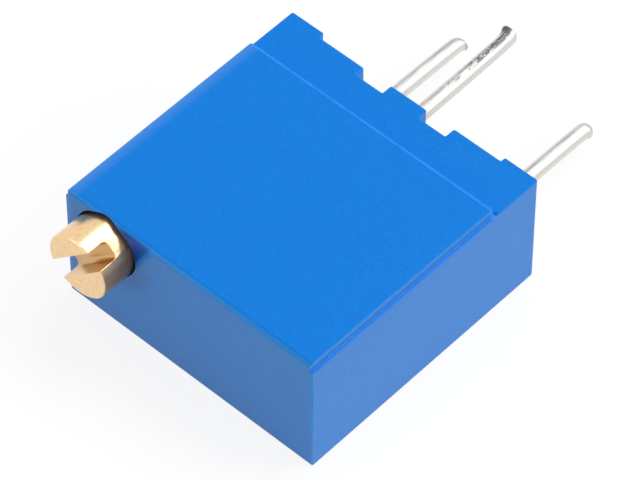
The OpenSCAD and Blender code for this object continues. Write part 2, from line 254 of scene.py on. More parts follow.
def cut_away(piece, cutter):
    """Takes the shape of a cutter out of a piece, and throws the cutter away."""
    apply(piece, "BOOLEAN", operation="DIFFERENCE", object=cutter, solver="EXACT")
    bpy.data.objects.remove(cutter)


def to_metres(piece):
    """Brings a finished piece from millimetres to metres, and smooths all but its sharp edges."""
    select_only(piece)
    piece.scale = (MM, MM, MM)
    bpy.ops.object.transform_apply(scale=True)
    bpy.ops.object.shade_smooth_by_angle(angle=SHARP)
    apply(piece, "WEIGHTED_NORMAL", keep_sharp=True)


def box_mm(node):
    """The lowest and highest corner of a CAD node in millimetres."""
    low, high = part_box(node)
    return low / MM, high / MM


body_low, body_high = box_mm("housing")
substrate_low, substrate_high = box_mm("substrate")
screw_low, screw_high = box_mm("adjusting_screw")
clip_low, clip_high = box_mm("retaining_clip")
ring_low, ring_high = box_mm("o_ring")

# the sizes that no box gives
LEDGE_H = 4.26
LEDGE_W = 0.1
STRIP_L = 1.83
SIDE_WALL = 0.65
FLOOR_WALL = 0.4
ROOF_WALL = 0.9
FRONT_WALL = 0.7
THRUST_WALL = 0.35
FOOT_W = 1.27
CENTRE_PAD_W = 1.43
RIM_SLOT_W = 1.0
RIM_SLOT_DEPTH = 0.56
PAD_DROP = 0.18
RAIL_W = 0.7
SEAT_GAP = 0.02
SLIDE_GAP = 0.05

half_w = body_high.x
front_y, feet_y = body_low.y, body_high.y
panel_h = body_high.z
roof_z = panel_h - ROOF_WALL
slot_y = feet_y - RIM_SLOT_DEPTH
pad_y = feet_y - PAD_DROP
panel_x = half_w - LEDGE_W
panel_y = feet_y - STRIP_L
cavity_x = half_w - SIDE_WALL
foot_x = half_w - FOOT_W
pad_x = CENTRE_PAD_W / 2 + RIM_SLOT_W
screw_x = (screw_low.x + screw_high.x) / 2
screw_z = (screw_low.z + screw_high.z) / 2
head_r = (screw_high.x - screw_low.x) / 2
bore_r = (ring_high.x - ring_low.x) / 2 + SEAT_GAP
boss_y = clip_low.y
boss_x = screw_x + bore_r + THRUST_WALL
rail_y = substrate_high.y
rail_z = substrate_low.z

housing = add_piece("housing_shell", bpy.ops.mesh.primitive_cube_add, size=1,
                    location=(0, (front_y + slot_y) / 2, LEDGE_H / 2),
                    scale=(2 * half_w, slot_y - front_y, LEDGE_H))
cut(0, (-foot_x, -pad_x, -CENTRE_PAD_W / 2, CENTRE_PAD_W / 2, pad_x, foot_x,
        -panel_x, panel_x, -cavity_x, cavity_x, -cavity_x + RAIL_W, cavity_x - RAIL_W, boss_x))
cut(1, (panel_y,))
cut(2, (FLOOR_WALL, roof_z, rail_z))

# the raised panel
select("FACE", lambda c, f: near(c.z, LEDGE_H) and abs(c.x) < panel_x and c.y < panel_y)
extrude((0, 0, panel_h - LEDGE_H))


# the rim: feet and pads stand on the wall that is left round the cavity
def in_cavity(c):
    """Whether a point lies within the cavity's outline, seen from the pin side."""
    return abs(c.x) < cavity_x and FLOOR_WALL < c.z < roof_z


def on_foot(c):
    """Whether a point lies in one of the four corner feet."""
    return abs(c.x) > foot_x


def on_pad(c):
    """Whether a point lies in a pad: the centre one or one beside a foot."""
    return abs(c.x) < CENTRE_PAD_W / 2 or pad_x < abs(c.x) < foot_x


select("FACE", lambda c, f: near(c.y, slot_y) and not in_cavity(c) and (on_foot(c) or on_pad(c)))
extrude((0, RIM_SLOT_DEPTH - PAD_DROP, 0))
select("FACE", lambda c, f: near(c.y, pad_y) and on_foot(c))
extrude((0, PAD_DROP, 0))


# the cavity, first as far as the ledges for the substrate, then to the boss, then to the front
def off_rail(c):
    """Whether a point lies in the cavity, and clear of the ledges for the substrate."""
    return in_cavity(c) and not (abs(c.x) > cavity_x - RAIL_W and c.z < rail_z)


select("FACE", lambda c, f: near(c.y, slot_y) and in_cavity(c))
extrude((0, rail_y - slot_y, 0))
select("FACE", lambda c, f: near(c.y, rail_y) and off_rail(c))
extrude((0, boss_y - rail_y, 0))
face_outwards()
select("FACE", lambda c, f: near(c.y, boss_y) and off_rail(c) and c.x > boss_x)
extrude((0, front_y + FRONT_WALL - boss_y, 0))
bpy.ops.mesh.select_all(action="SELECT")
bpy.ops.mesh.remove_doubles(threshold=0.0001)
face_outwards()
bpy.ops.mesh.dissolve_limited(angle_limit=math.radians(1))

# edges: every outer edge of the moulding is rounded, and the panel's front edge most of all
EDGE_R = 0.1
CORNER_R = 0.055
FINE_R = 0.04
CAVITY_R = 0.02
PANEL_FRONT_R = 0.2
PANEL_REAR_R = 0.14
PANEL_SIDE_R = 0.035
PANEL_FRONT_CORNER_R = 0.033
PANEL_REAR_CORNER_R = 0.12
STEP_R = 0.045
LEDGE_R = 0.045
FOOT_CORNER_R = 0.11
PAD_CORNER_R = 0.15
WORN_PAD_R = 0.1
FLAT = math.radians(20)


def edge_radius(edge):
    """The radius that the moulding has on an edge, by where the edge lies."""
    if not edge.is_manifold or edge.calc_face_angle(0) < FLAT:
        return 0
    a, b = edge.verts[0].co, edge.verts[1].co
    c = (a + b) / 2
    upright = abs((b - a).normalized().z) > 0.9
    # in the cavity only the rim's inner edges are broken
    if abs(c.x) < cavity_x + NEAR and FLOOR_WALL - NEAR < c.z < roof_z + NEAR:
        return CAVITY_R if c.y > slot_y - NEAR else 0
    # upright edges: of the feet, of the body's corners, of the panel, and of the pads and slots
    if upright and near(c.y, feet_y):
        return FOOT_CORNER_R if near(abs(c.x), half_w) else EDGE_R
    if upright and near(abs(c.x), half_w):
        return CORNER_R
    if upright and near(abs(c.x), panel_x) and c.z > LEDGE_H:
        return PANEL_REAR_CORNER_R if near(c.y, panel_y) else PANEL_FRONT_CORNER_R
    if upright:
        return PAD_CORNER_R if near(c.y, pad_y) and abs(c.x) < foot_x - NEAR else FINE_R
    # level edges: round the panel's top, then at the height of the ledges, then the others
    if near(c.z, panel_h) and near(c.y, front_y):
        return PANEL_FRONT_R
    if near(c.z, panel_h):
        return PANEL_REAR_R if near(c.y, panel_y) else PANEL_SIDE_R
    if near(c.z, LEDGE_H) and (near(abs(c.x), panel_x) or near(c.y, panel_y)):
        return STEP_R
    if near(c.z, LEDGE_H) and abs(c.x) > panel_x:
        return LEDGE_R
    if near(c.z, LEDGE_H) and c.y > slot_y + NEAR and -foot_x < c.x < -pad_x:
        return WORN_PAD_R
    return EDGE_R if near(c.z, 0) or near(c.y, front_y) else FINE_R


mesh = bmesh.from_edit_mesh(housing.data)
weights = mesh.edges.layers.float.new("bevel_weight_edge")
for edge in mesh.edges:
    edge[weights] = edge_radius(edge) / PANEL_FRONT_R
bmesh.update_edit_mesh(housing.data)
bpy.ops.object.mode_set(mode="OBJECT")
apply(housing, "BEVEL", limit_method="WEIGHT", width=PANEL_FRONT_R, segments=5,
      offset_type="OFFSET", use_clamp_overlap=True, miter_outer="MITER_ARC", loop_slide=True)


# the stepped bore for the screw, and its channel under the roof. The head's bore opens in a
# shallow mouth that sits high of the screw, into the round of the panel's edge.
def bore(name, axis, radius, low, high):
    """Cuts a round hole along Y through the housing."""
    cutter = add_piece(name, bpy.ops.mesh.primitive_cylinder_add, vertices=96, radius=radius,
                       depth=high - low, location=(axis.x, (low + high) / 2, axis.z),
                       rotation=(math.pi / 2, 0, 0))
    bpy.ops.object.mode_set(mode="OBJECT")
    cut_away(housing, cutter)


HEAD_ROOM = 0.03
MOUTH_R = 1.13
MOUTH_DEPTH = 0.13
MOUTH_SHIFT = Vector((0.07, 0, 0.115))
NECK_BORE_R = 0.73
CHANNEL_R = 0.78
PAST = 1
screw_axis = Vector((screw_x, 0, screw_z))
mouth_axis = screw_axis + MOUTH_SHIFT
bore("head_bore", screw_axis, head_r + HEAD_ROOM, front_y - PAST, boss_y - THRUST_WALL)
bore("mouth", mouth_axis, MOUTH_R, front_y - PAST, front_y + MOUTH_DEPTH)
bore("neck_bore", screw_axis, NECK_BORE_R, front_y, boss_y + THRUST_WALL)
bore("channel", screw_axis, CHANNEL_R, boss_y, feet_y + PAST)
to_metres(housing)

# Glass-filled thermoset, moulded in a fine spark-eroded tool: a deep blue, satin to the eye, with
# the streaks of its flow and its grain, and painted light and shade: paler low down, at the left
# and on the upright walls, painted highlights on the panel's edges, painted shade in a pit and in
# the bore's mouth, and the screw head's painted shadow. First its colours, then the width of each
# pattern and mark, and the places of the pit and of the painted shadow.
BLUE = "#0079DB"
STREAK_BLUE = "#0083E4"
# painted light and shade: the paler blue, the lighter edge blue, and the pit, shadow and mouth
# blues
PAINTED_LIGHT_BLUE = "#BCD0E6"
HIGHLIGHT_BLUE = "#3CA6FF"
PIT_SHADE_BLUE = "#06306A"
SCREW_SHADOW_BLUE = "#0030A0"
MOUTH_SHADE_BLUE = "#46548A"
FLOW = 0.08
TOOL_GRAIN = 0.05
GRAIN_DEPTH = 0.01
HIGHLIGHT_BREAKUP = 0.5
LOW_LIGHT_HEIGHT = 0.35
LEFT_LIGHT_WIDTH = 0.5
STEP_LIGHT_INSET = 0.04
STEP_FADE = 0.03
TOP_DEPTH = 0.06
REAR_LINE = 0.05
CORNER_LINE = 0.03
LINE_FADE = 0.04
FRONT_LEAN = 1.6
PIT_R = 0.04
PIT_PLACE = Vector((panel_x + 0.02, panel_y + 0.07, LEDGE_H))
SHADOW_SIDE = Vector((-0.872, 0, 0.49))
SHADOW_PLACE = screw_axis + Vector((1.1, front_y, -0.12))
SHADOW_EDGE = 0.1
SHADOW_REACH = 2.3
SHADOW_START = 0.2
SHADOW_FULL = 0.9
FACE_DEPTH = 0.1
FACE_FADE = 0.08
SKIN = 0.004

material, tree, output = new_material("satin thermoset moulding")
place = add_node(tree, "ShaderNodeTexCoord").outputs["Object"]
xyz = add_node(tree, "ShaderNodeSeparateXYZ", (), {0: place})
normal = add_node(tree, "ShaderNodeNewGeometry").outputs["Normal"]
slope = add_node(tree, "ShaderNodeSeparateXYZ", (), {0: normal})

# the flow of the resin, and the tool's grain, coarser than the real one so that it shows
flow = add_node(tree, "ShaderNodeTexNoise", {"Scale": 1 / (FLOW * MM), "Detail": 3.0},
                {"Vector": place})
streak = add_node(tree, "ShaderNodeMapRange", {"From Min": 0.35, "From Max": 0.65},
                  {"Value": flow.outputs["Fac"]})
tint = add_node(tree, "ShaderNodeMix",
                {"data_type": "RGBA", 6: linear(BLUE), 7: linear(STREAK_BLUE)},
                {0: streak.outputs[0]})
grain = add_node(tree, "ShaderNodeTexNoise", {"Scale": 1 / (TOOL_GRAIN * MM), "Detail": 3.0},
                 {"Vector": place})
relief = add_node(tree, "ShaderNodeBump", {"Strength": 0.08, "Distance": GRAIN_DEPTH * MM},
                  {"Height": grain.outputs["Fac"]})

# painted light: it is paler low down, at the left of the panel and on the step beside it, and a
# painted sheen makes the upright walls paler
on_panel = add_node(tree, "ShaderNodeMath", {"operation": "LESS_THAN", 1: panel_y * MM},
                    {0: xyz.outputs["Y"]})
on_top = add_node(tree, "ShaderNodeMath",
                  {"operation": "GREATER_THAN", 1: (LEDGE_H - TOP_DEPTH) * MM},
                  {0: xyz.outputs["Z"]})
off_wall = add_node(tree, "ShaderNodeMapRange", {"From Min": -0.9, "From Max": -0.4},
                    {"Value": slope.outputs["X"]})
painted_light = add_node(tree, "ShaderNodeMapRange",
                 {"From Min": LOW_LIGHT_HEIGHT * MM, "From Max": 0.0, "To Max": 0.14},
                 {"Value": xyz.outputs["Z"]})
left = add_node(tree, "ShaderNodeMapRange",
                {"From Min": (LEFT_LIGHT_WIDTH - half_w) * MM, "From Max": -half_w * MM, "To Max": 0.17},
                {"Value": xyz.outputs["X"]})
for within in (on_panel, off_wall):
    left = add_node(tree, "ShaderNodeMath", {"operation": "MULTIPLY"},
                    {0: left.outputs[0], 1: within.outputs[0]})
step = add_node(tree, "ShaderNodeMapRange",
                {"From Min": (panel_x - STEP_LIGHT_INSET) * MM,
                 "From Max": (panel_x - STEP_LIGHT_INSET + STEP_FADE) * MM, "To Max": 0.01},
                {"Value": xyz.outputs["X"]})
for within in (on_top, on_panel):
    step = add_node(tree, "ShaderNodeMath", {"operation": "MULTIPLY"},
                    {0: step.outputs[0], 1: within.outputs[0]})
upright_sheen = add_node(tree, "ShaderNodeMapRange", {"From Min": 0.9, "From Max": 0.1, "To Max": 0.07},
                   {"Value": slope.outputs["Z"]})
for mark in (left, step, upright_sheen):
    painted_light = add_node(tree, "ShaderNodeMath", {"operation": "MAXIMUM"},
                     {0: painted_light.outputs[0], 1: mark.outputs[0]})

# painted highlights: lighter blue lines along the panel's rear edge and down the front right
# corner, where its burr catches the light; noise breaks them up in places
behind = add_node(tree, "ShaderNodeMath",
                  {"operation": "SUBTRACT", 1: (panel_y - REAR_LINE) * MM}, {0: xyz.outputs["Y"]})
behind = add_node(tree, "ShaderNodeMath", {"operation": "ABSOLUTE"}, {0: behind.outputs[0]})
rear_highlight = add_node(tree, "ShaderNodeMapRange",
                     {"From Min": (REAR_LINE + LINE_FADE) * MM, "From Max": REAR_LINE * MM},
                     {"Value": behind.outputs[0]})
rear_highlight = add_node(tree, "ShaderNodeMath", {"operation": "MULTIPLY"},
                     {0: rear_highlight.outputs[0], 1: on_top.outputs[0]})
corner = add_node(tree, "ShaderNodeVectorMath",
                  {"operation": "SUBTRACT", 1: Vector((half_w, front_y, 0)) * MM}, {0: place})
flat = add_node(tree, "ShaderNodeVectorMath", {"operation": "MULTIPLY", 1: (1, 1, 0)},
                {0: corner.outputs[0]})
off_corner = add_node(tree, "ShaderNodeVectorMath", {"operation": "LENGTH"}, {0: flat.outputs[0]})
corner_highlight = add_node(tree, "ShaderNodeMapRange",
                       {"From Min": (CORNER_LINE + LINE_FADE) * MM, "From Max": CORNER_LINE * MM},
                       {"Value": off_corner.outputs["Value"]})
edge_highlights = add_node(tree, "ShaderNodeMath", {"operation": "MAXIMUM"},
                     {0: rear_highlight.outputs[0], 1: corner_highlight.outputs[0]})
breakup_noise = add_node(tree, "ShaderNodeTexNoise", {"Scale": 1 / (HIGHLIGHT_BREAKUP * MM), "Detail": 2.0},
                {"Vector": place})
broken_up = add_node(tree, "ShaderNodeMapRange",
                {"From Min": 0.3, "From Max": 0.5, "To Min": 0.15, "To Max": 0.5},
                {"Value": breakup_noise.outputs["Fac"]})
edge_highlights = add_node(tree, "ShaderNodeMath", {"operation": "MULTIPLY"},
                     {0: edge_highlights.outputs[0], 1: broken_up.outputs[0]})

# a painted highlight all along the round of the panel's front edge, most towards the front face
back = add_node(tree, "ShaderNodeMath", {"operation": "SUBTRACT", 1: front_y * MM},
                {0: xyz.outputs["Y"]})
back = add_node(tree, "ShaderNodeMath", {"operation": "MULTIPLY", 1: FRONT_LEAN},
                {0: back.outputs[0]})
off_round = add_node(tree, "ShaderNodeMath", {"operation": "SUBTRACT"},
                     {0: back.outputs[0], 1: xyz.outputs["Z"]})
front_highlight = add_node(tree, "ShaderNodeMapRange",
                      {"From Min": (PANEL_FRONT_R - panel_h) * MM,
                       "From Max": (0.75 * PANEL_FRONT_R - panel_h) * MM, "To Max": 0.5},
                      {"Value": off_round.outputs[0]})

# painted shade: a dark spot for the shade in a pit beside the panel's rear right corner
off_pit = add_node(tree, "ShaderNodeVectorMath", {"operation": "DISTANCE", 1: PIT_PLACE * MM},
                   {0: place})
pit_shade = add_node(tree, "ShaderNodeMapRange",
               {"From Min": 2 * PIT_R * MM, "From Max": PIT_R * MM, "To Max": 0.6},
               {"Value": off_pit.outputs["Value"]})

# painted shadow: the screw head's shadow on the face, up towards the panel's edge, with a
# straight lower side; it thins out away from the screw
off_shadow = add_node(tree, "ShaderNodeVectorMath", {"operation": "SUBTRACT", 1: SHADOW_PLACE * MM},
                    {0: place})
off_shadow = add_node(tree, "ShaderNodeVectorMath", {"operation": "DOT_PRODUCT", 1: SHADOW_SIDE},
                    {0: off_shadow.outputs[0]})
screw_shadow = add_node(tree, "ShaderNodeMapRange", {"From Min": 0.0, "From Max": SHADOW_EDGE * MM},
                 {"Value": off_shadow.outputs["Value"]})
off_screw = add_node(tree, "ShaderNodeVectorMath",
                     {"operation": "DISTANCE", 1: (screw_axis + Vector((0, front_y, 0))) * MM},
                     {0: place})
shadow_fade = add_node(tree, "ShaderNodeMapRange",
                   {"From Min": SHADOW_REACH * MM, "From Max": SHADOW_REACH / 2 * MM,
                    "To Min": 0.35, "To Max": 1.0}, {"Value": off_screw.outputs["Value"]})
right = add_node(tree, "ShaderNodeMapRange",
                 {"From Min": (screw_x + SHADOW_START) * MM,
                  "From Max": (screw_x + SHADOW_FULL) * MM},
                 {"Value": xyz.outputs["X"]})
on_face = add_node(tree, "ShaderNodeMapRange",
                   {"From Min": (front_y + FACE_DEPTH) * MM,
                    "From Max": (front_y + FACE_DEPTH - FACE_FADE) * MM},
                   {"Value": xyz.outputs["Y"]})
for within in (shadow_fade, right, on_face):
    screw_shadow = add_node(tree, "ShaderNodeMath", {"operation": "MULTIPLY"},
                     {0: screw_shadow.outputs[0], 1: within.outputs[0]})

# painted shade: the mouth of the screw's bore is painted dark
from_mouth = add_node(tree, "ShaderNodeVectorMath", {"operation": "SUBTRACT", 1: mouth_axis * MM},
                      {0: place})
flat = add_node(tree, "ShaderNodeVectorMath", {"operation": "MULTIPLY", 1: (1, 0, 1)},
                {0: from_mouth.outputs[0]})
off_axis = add_node(tree, "ShaderNodeVectorMath", {"operation": "LENGTH"}, {0: flat.outputs[0]})
in_mouth = add_node(tree, "ShaderNodeMath", {"operation": "LESS_THAN", 1: (MOUTH_R + SKIN) * MM},
                    {0: off_axis.outputs["Value"]})
at_mouth = add_node(tree, "ShaderNodeMath",
                    {"operation": "LESS_THAN", 1: (front_y + MOUTH_DEPTH + SKIN) * MM},
                    {0: xyz.outputs["Y"]})
bore_shade = add_node(tree, "ShaderNodeMath", {"operation": "MULTIPLY"},
                   {0: in_mouth.outputs[0], 1: at_mouth.outputs[0]})

# each mark lies over the ones before it
for mark, colour in ((painted_light, PAINTED_LIGHT_BLUE), (edge_highlights, HIGHLIGHT_BLUE),
                     (front_highlight, HIGHLIGHT_BLUE), (pit_shade, PIT_SHADE_BLUE), (screw_shadow, SCREW_SHADOW_BLUE),
                     (bore_shade, MOUTH_SHADE_BLUE)):
    tint = add_node(tree, "ShaderNodeMix", {"data_type": "RGBA", 7: linear(colour)},
                    {0: mark.outputs[0], 6: tint.outputs[2]})
matt = add_node(tree, "ShaderNodeMapRange", {"To Min": 0.17, "To Max": 0.75},
                {"Value": rear_highlight.outputs[0]})
plastic = add_node(tree, "ShaderNodeBsdfPrincipled", {"IOR": 1.5, "Specular IOR Level": 0.14},
                   {"Base Color": tint.outputs[2], "Normal": relief.outputs[0],
                    "Roughness": matt.outputs[0]})
tree.links.new(plastic.outputs[0], output.inputs["Surface"])
housing.data.materials.clear()
housing.data.materials.append(material)
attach(housing, "body")
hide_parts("housing")


# ---------------------------------------------------------------- adjusting screw
# Turned brass: a slotted head that stands out of the face, a groove for the seal ring, a threaded
# shank and a neck for the clip.
HEAD_CHAMFER = 0.03
SLOT_W = 0.62
SLOT_DEPTH = 0.68
SLOT_CUT_L = 3
SLOT_SHIFT = 0.07
SLOT_CORNER_R = 0.16
SLOT_TURN = math.radians(45)
GROOVE_Y = 0.42
GROOVE_W = 0.5
RING_D = 0.42
THREAD_R = 0.7
NECK_R = 0.45
JOURNAL_R = 0.35
JOURNAL_L = 0.6
BROKEN_EDGE = 0.02
groove_r = bore_r - SEAT_GAP - RING_D
groove_y = front_y + GROOVE_Y
head_y = screw_low.y
head_end_y = boss_y - THRUST_WALL - SLIDE_GAP
neck_end_y = clip_high.y + 2 * SEAT_GAP
journal_y = screw_high.y - JOURNAL_L

profile = [
    (head_r, head_y + HEAD_CHAMFER), (head_r, groove_y), (groove_r, groove_y),
    (groove_r, groove_y + GROOVE_W), (head_r, groove_y + GROOVE_W), (head_r, head_end_y),
    (THREAD_R, head_end_y), (THREAD_R, boss_y), (NECK_R, boss_y), (NECK_R, neck_end_y),
    (THREAD_R, neck_end_y), (THREAD_R, journal_y), (JOURNAL_R, journal_y),
    (JOURNAL_R, screw_high.y),
]
# it is drawn out of its face along the axis, from one shoulder of the profile to the next
last_r, last_y = head_r - HEAD_CHAMFER, head_y
screw = add_piece("brass_screw", bpy.ops.mesh.primitive_circle_add, vertices=96, radius=last_r,
                  fill_type="NGON", location=(screw_x, head_y, screw_z),
                  rotation=(math.pi / 2, 0, 0))
bpy.ops.mesh.select_all(action="SELECT")
for r, y in profile:
    extrude((0, y - last_y, 0))
    if r != last_r:
        bpy.ops.transform.resize(value=(r / last_r, 1, r / last_r),
                                 center_override=(screw_x, y, screw_z))
    last_r, last_y = r, y
face_outwards()
bpy.ops.object.mode_set(mode="OBJECT")

# the driver's slot lies a little off the axis, and the corners of its floor are round
slot_across = Vector((-math.sin(SLOT_TURN), 0, math.cos(SLOT_TURN)))
slot_centre = screw_axis + slot_across * SLOT_SHIFT
cutter = add_piece("driver_slot", bpy.ops.mesh.primitive_cube_add, size=1,
                   location=(slot_centre.x, head_y + (SLOT_DEPTH - PAST) / 2, slot_centre.z),
                   rotation=(0, -SLOT_TURN, 0), scale=(SLOT_CUT_L, SLOT_DEPTH + PAST, SLOT_W))
select("EDGE", lambda c, e: near(c.y, head_y + SLOT_DEPTH) and e.calc_length() > head_r)
bpy.ops.mesh.bevel(offset=SLOT_CORNER_R, segments=4, affect="EDGES")
bpy.ops.object.mode_set(mode="OBJECT")
cut_away(screw, cutter)
apply(screw, "BEVEL", limit_method="ANGLE", angle_limit=SHARP, width=BROKEN_EDGE, segments=2,
      use_clamp_overlap=True)
to_metres(screw)

# Free-cutting brass, turned and left bright: fine tool marks run round it, and it is stained. The
# milled slot is a duller brass, painted darker for the shade in it, and painted shade darkens the
# underside and the part in and near the bore. First its colours, then the width of each pattern
# and mark.
BRASS = "#F5D2A3"
# painted shade: the milled slot's colour is darker for the shade in it
MILLED_SHADED_BRASS = "#CFA66E"
STAINED_BRASS = "#D9AF78"
# painted shade: the underside's colour and the colour in and near the bore
UNDERSIDE_SHADE = "#79665A"
BORE_SHADE_BROWN = "#45413F"
TOOL_MARK = 0.0628319
MARK_DEPTH = 0.004
STAIN = 0.15
SLOT_SHADE = 0.5
UNDERSIDE = Vector((0.87, 0, -0.5))
LIT_SIDE = Vector((0.35, 0, 0.94))
SHADE_OUT = 0.35
SHADE_IN = 0.02
BORE_SHADE_FADE = 0.3

material, tree, output = new_material("turned brass")
coordinates = add_node(tree, "ShaderNodeTexCoord")
place = coordinates.outputs["Object"]
xyz = add_node(tree, "ShaderNodeSeparateXYZ", (), {0: place})
slope = add_node(tree, "ShaderNodeSeparateXYZ", (), {0: coordinates.outputs["Normal"]})
centred = add_node(tree, "ShaderNodeVectorMath", {"operation": "SUBTRACT", 1: screw_axis * MM},
                   {0: place})
# tool marks, as rings on the faces and bands on the cylinder. At scale 1 the texture repeats
# every tau / 20.
rings = add_node(tree, "ShaderNodeTexWave",
                 {"wave_type": "RINGS", "rings_direction": "Y", "Distortion": 1.5,
                  "Scale": math.tau / 20 / (TOOL_MARK * MM)}, {"Vector": centred.outputs[0]})
relief = add_node(tree, "ShaderNodeBump", {"Strength": 0.15, "Distance": MARK_DEPTH * MM},
                  {"Height": rings.outputs["Fac"]})
# the milled slot is painted darker from the face down to its floor, for the shade in it
across = add_node(tree, "ShaderNodeVectorMath", {"operation": "DOT_PRODUCT", 1: slot_across},
                  {0: centred.outputs[0]})
off_slot = add_node(tree, "ShaderNodeMath", {"operation": "SUBTRACT", 1: SLOT_SHIFT * MM},
                    {0: across.outputs["Value"]})
off_slot = add_node(tree, "ShaderNodeMath", {"operation": "ABSOLUTE"}, {0: off_slot.outputs[0]})
in_slot = add_node(tree, "ShaderNodeMath", {"operation": "LESS_THAN", 1: (SLOT_W / 2 + SKIN) * MM},
                   {0: off_slot.outputs[0]})
above_floor = add_node(tree, "ShaderNodeMath",
                       {"operation": "LESS_THAN", 1: (head_y + SLOT_DEPTH + SKIN) * MM},
                       {0: xyz.outputs["Y"]})
slot_wall = add_node(tree, "ShaderNodeMath", {"operation": "MULTIPLY"},
                     {0: in_slot.outputs[0], 1: above_floor.outputs[0]})
down = add_node(tree, "ShaderNodeMapRange",
                {"From Min": head_y * MM, "From Max": (head_y + SLOT_SHADE) * MM,
                 "To Min": 0.3, "To Max": 1.0}, {"Value": xyz.outputs["Y"]})
milled_and_shaded = add_node(tree, "ShaderNodeMath", {"operation": "MULTIPLY"},
                  {0: slot_wall.outputs[0], 1: down.outputs[0]})
tone = add_node(tree, "ShaderNodeMix",
                {"data_type": "RGBA", 6: linear(BRASS), 7: linear(MILLED_SHADED_BRASS)},
                {0: milled_and_shaded.outputs[0]})
stains = add_node(tree, "ShaderNodeTexNoise", {"Scale": 1 / (STAIN * MM), "Detail": 4.0},
                  {"Vector": place})
stained = add_node(tree, "ShaderNodeMapRange", {"From Min": 0.45, "From Max": 0.65, "To Max": 0.32},
                   {"Value": stains.outputs["Fac"]})
# painted shade: the underside, away from the light, is painted a dull brown-grey and made matt,
# but not its face or the slot
under = add_node(tree, "ShaderNodeVectorMath", {"operation": "DOT_PRODUCT", 1: UNDERSIDE},
                 {0: coordinates.outputs["Normal"]})
shaded_underside = add_node(tree, "ShaderNodeMapRange", {"From Min": 0.38, "From Max": 0.7, "To Max": 0.85},
                {"Value": under.outputs["Value"]})
off_face = add_node(tree, "ShaderNodeMapRange", {"From Min": -0.9, "From Max": -0.3},
                    {"Value": slope.outputs["Y"]})
outside = add_node(tree, "ShaderNodeMath", {"operation": "SUBTRACT", 0: 1.0},
                   {1: slot_wall.outputs[0]})
for within in (off_face, outside):
    shaded_underside = add_node(tree, "ShaderNodeMath", {"operation": "MULTIPLY"},
                    {0: shaded_underside.outputs[0], 1: within.outputs[0]})
# painted shade: it is painted dark inside the bore, and a little way out of it on all but its lit
# upper side
lit_facing = add_node(tree, "ShaderNodeVectorMath", {"operation": "DOT_PRODUCT", 1: LIT_SIDE},
                   {0: coordinates.outputs["Normal"]})
shade_reach = add_node(tree, "ShaderNodeMapRange",
                 {"From Min": 0.1, "From Max": 0.85,
                  "To Min": -SHADE_OUT * MM, "To Max": SHADE_IN * MM},
                 {"Value": lit_facing.outputs["Value"]})
shade_place = add_node(tree, "ShaderNodeMath", {"operation": "SUBTRACT"},
                 {0: xyz.outputs["Y"], 1: shade_reach.outputs[0]})
bore_shade = add_node(tree, "ShaderNodeMapRange",
                   {"From Min": front_y * MM, "From Max": (front_y + BORE_SHADE_FADE) * MM},
                   {"Value": shade_place.outputs[0]})
for mark, colour in ((stained, STAINED_BRASS), (shaded_underside, UNDERSIDE_SHADE), (bore_shade, BORE_SHADE_BROWN)):
    tone = add_node(tree, "ShaderNodeMix", {"data_type": "RGBA", 7: linear(colour)},
                    {0: mark.outputs[0], 6: tone.outputs[2]})
bare = add_node(tree, "ShaderNodeMapRange", {"To Min": 0.94, "To Max": 0.2},
                {"Value": shaded_underside.outputs[0]})
roughness = add_node(tree, "ShaderNodeMapRange", {"To Min": 0.27, "To Max": 0.5},
                     {"Value": shaded_underside.outputs[0]})
# the turned marks smear a reflection along the screw
turned = add_node(tree, "ShaderNodeTangent", {"direction_type": "RADIAL", "axis": "Y"})
brass = add_node(tree, "ShaderNodeBsdfPrincipled",
                 {"Anisotropic": 0.55, "Anisotropic Rotation": 0.25},
                 {"Base Color": tone.outputs[2], "Normal": relief.outputs[0],
                  "Metallic": bare.outputs[0], "Roughness": roughness.outputs[0],
                  "Tangent": turned.outputs[0]})
tree.links.new(brass.outputs[0], output.inputs["Surface"])
screw.data.materials.clear()
screw.data.materials.append(material)
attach(screw, "screw")
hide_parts("adjusting_screw")


# ---------------------------------------------------------------- pins
# Tinned copper wire, sheared off at the outer end. Pins 1 and 3 run straight under the substrate,
# and pin 2 steps down inside the base onto the collector pad.
PIN_R = 0.25
SHEAR_SIDE = Vector((-0.876, 0, 0.483))
ON_RING = 0.006


def add_pin(number, points, rings):
    """A round wire along the points, which ends in rings that the shear has pushed out of line.

    A ring is its distance from the tip and how far it reaches on the shear side and opposite, in
    pin radii."""
    tip = Vector(points[-1])
    path = list(points[:-1]) + [tip - Vector((0, back, 0)) for back, near_r, far_r in rings]
    curve_data = bpy.data.curves.new(f"wire_pin_{number}", "CURVE")
    curve_data.dimensions = "3D"
    curve_data.bevel_depth = PIN_R
    curve_data.bevel_resolution = 8
    curve_data.use_fill_caps = True
    spline = curve_data.splines.new("POLY")
    spline.points.add(len(path) - 1)
    for spot, point in zip(spline.points, path):
        spot.co = (*point, 1)
    wire = bpy.data.objects.new(f"wire_pin_{number}", curve_data)
    bpy.context.scene.collection.objects.link(wire)
    select_only(wire)
    bpy.ops.object.convert(target="MESH")
    wire = bpy.context.object
    bpy.ops.object.mode_set(mode="EDIT")
    bpy.ops.mesh.select_all(action="SELECT")
    bpy.ops.mesh.remove_doubles(threshold=0.0001)
    for back, near_r, far_r in rings:
        ring_y = tip.y - back
        select("VERT", lambda c, v: abs(c.y - ring_y) < ON_RING)
        scale = (near_r + far_r) / 2
        bpy.ops.transform.resize(value=(scale, 1, scale), center_override=(tip.x, ring_y, tip.z))
        bpy.ops.transform.translate(value=SHEAR_SIDE * PIN_R * (near_r - far_r) / 2)
    face_outwards()
    bpy.ops.object.mode_set(mode="OBJECT")
    to_metres(wire)
    wire.data.materials.clear()
    wire.data.materials.append(tin)
    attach(wire, "body")
    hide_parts(f"pin_{number}")


